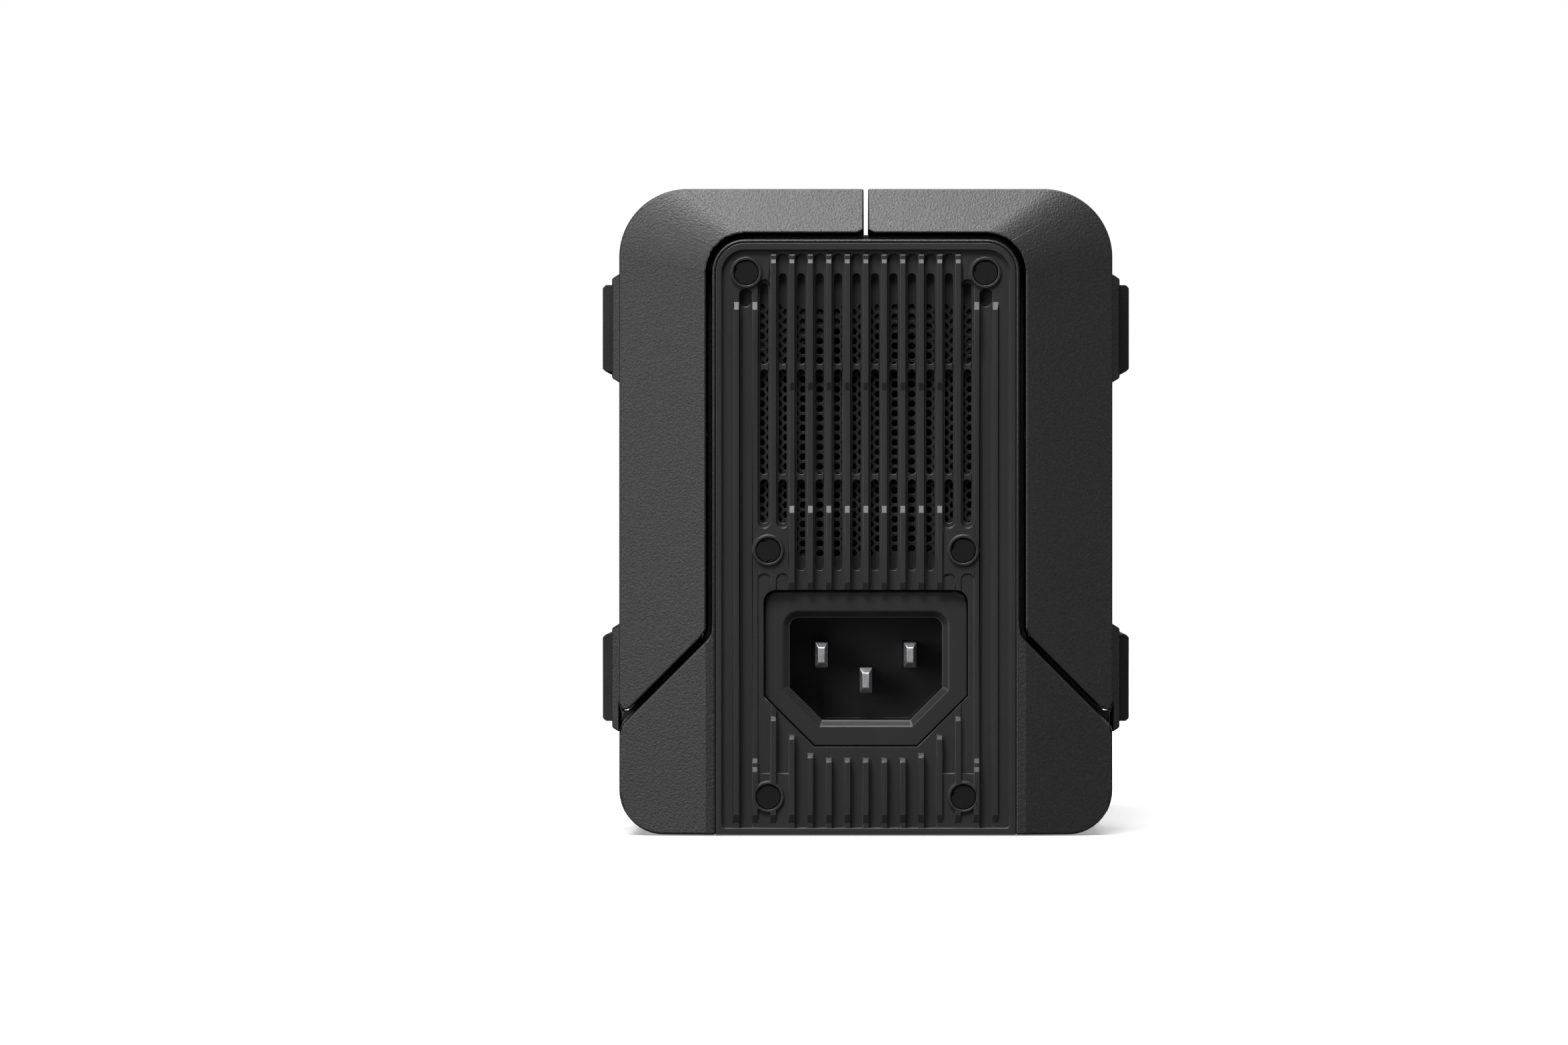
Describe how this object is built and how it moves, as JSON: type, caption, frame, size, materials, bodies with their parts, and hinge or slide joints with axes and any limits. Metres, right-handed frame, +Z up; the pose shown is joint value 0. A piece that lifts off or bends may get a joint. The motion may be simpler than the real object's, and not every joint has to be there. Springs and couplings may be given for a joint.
{
  "type": "dual battery charging station",
  "caption": "Upright mains charger core with a ribbed, fan-cooled rear panel and mains inlet, carrying a removable battery pack docked on each side.",
  "frame": {"origin": "centre of the footprint, on the plane that the base pads rest on", "axes": "+Z up; the rear face with the vents and mains inlet looks along -Y, and the front with the mode button looks along +Y; +X is to the right when facing the rear"},
  "size_m": [0.0836, 0.17, 0.102],
  "materials": {
    "shell_plastic": "fine moulded grain",
    "panel_plastic": "satin moulded",
    "black_plastic": "satin moulded",
    "black_rubber": "matte",
    "foam": "open-cell foam",
    "steel": "zinc plated",
    "contact_metal": "gold flashed",
    "pin_metal": "nickel plated",
    "aluminium": "extruded",
    "ferrite": "ground",
    "winding_tape": "polyester tape",
    "circuit_board": "solder mask over glass fibre",
    "capacitor_sleeve": "shrink sleeve",
    "component_plastic": "moulded epoxy",
    "fuse_ceramic": "glazed",
    "insulating_film": "sheet",
    "terminal_plastic": "moulded",
    "lead_blue": "wire insulation",
    "lead_red": "wire insulation",
    "light_pipe": "frosted clear",
    "cell_pouch": "laminated pouch"
  },
  "bodies": {
    "core": {"main_housing": "shell_plastic", "rear_panel": "panel_plastic", "vent_sheet": "panel_plastic", "rear_screws": "steel", "rear_screw_plugs": "black_plastic", "fan_gasket": "foam", "fan_frame": "black_plastic", "fan_nuts": "steel", "inlet_body": "panel_plastic", "inlet_pins": "pin_metal", "front_panel": "panel_plastic", "front_screws": "steel", "front_screw_plugs": "black_plastic", "status_windows": "light_pipe", "control_board": "circuit_board", "status_leds": "light_pipe", "mode_switch": "component_plastic", "power_board": "circuit_board", "insulating_sheet": "insulating_film", "power_board_screws": "steel", "bulk_capacitors": "capacitor_sleeve", "transformer_core": "ferrite", "transformer_winding": "winding_tape", "filter_choke": "ferrite", "power_transistors": "component_plastic", "heat_sink": "aluminium", "heat_sink_screws": "steel", "mains_fuse": "fuse_ceramic", "mains_leads": "lead_blue", "output_terminals": "terminal_plastic", "control_board_screws": "steel", "dock_connectors": "black_plastic", "dock_blades": "contact_metal", "dock_leads": "lead_red", "dock_magnets": "pin_metal", "base_pads": "black_rubber"},
    "fan": {"fan_rotor": "black_plastic"},
    "mode_key": {"mode_button": "black_plastic"},
    "left_pack": {"left_pack_shell": "shell_plastic", "left_pack_cover": "panel_plastic", "left_pack_feet": "black_rubber", "left_pack_cells": "cell_pouch", "left_pack_links": "pin_metal", "left_pack_board": "circuit_board", "left_pack_socket": "black_plastic", "left_pack_keepers": "steel", "left_pack_screws": "steel", "left_pack_windows": "light_pipe"},
    "left_key": {"left_pack_button": "black_plastic"},
    "right_pack": {"right_pack_shell": "shell_plastic", "right_pack_cover": "panel_plastic", "right_pack_feet": "black_rubber", "right_pack_cells": "cell_pouch", "right_pack_links": "pin_metal", "right_pack_board": "circuit_board", "right_pack_socket": "black_plastic", "right_pack_keepers": "steel", "right_pack_screws": "steel", "right_pack_windows": "light_pipe"},
    "right_key": {"right_pack_button": "black_plastic"}
  },
  "joints": [
    {"name": "fan_spin", "type": "hinge", "parent": "core", "child": "fan", "pos_m": [0, -0.072, 0.0612], "axis": [0, 1, 0], "continuous": true},
    {"name": "mode_press", "type": "slide", "parent": "core", "child": "mode_key", "axis": [0, -1, 0], "range_m": [0, 0.0008]},
    {"name": "left_pack_slide", "type": "slide", "parent": "core", "child": "left_pack", "axis": [-1, 0, 0], "range_m": [0, 0.045]},
    {"name": "left_button_press", "type": "slide", "parent": "left_pack", "child": "left_key", "axis": [0, 0, -1], "range_m": [0, 0.0008]},
    {"name": "right_pack_slide", "type": "slide", "parent": "core", "child": "right_pack", "axis": [1, 0, 0], "range_m": [0, 0.045]},
    {"name": "right_button_press", "type": "slide", "parent": "right_pack", "child": "right_key", "axis": [0, 0, -1], "range_m": [0, 0.0008]}
  ]
}
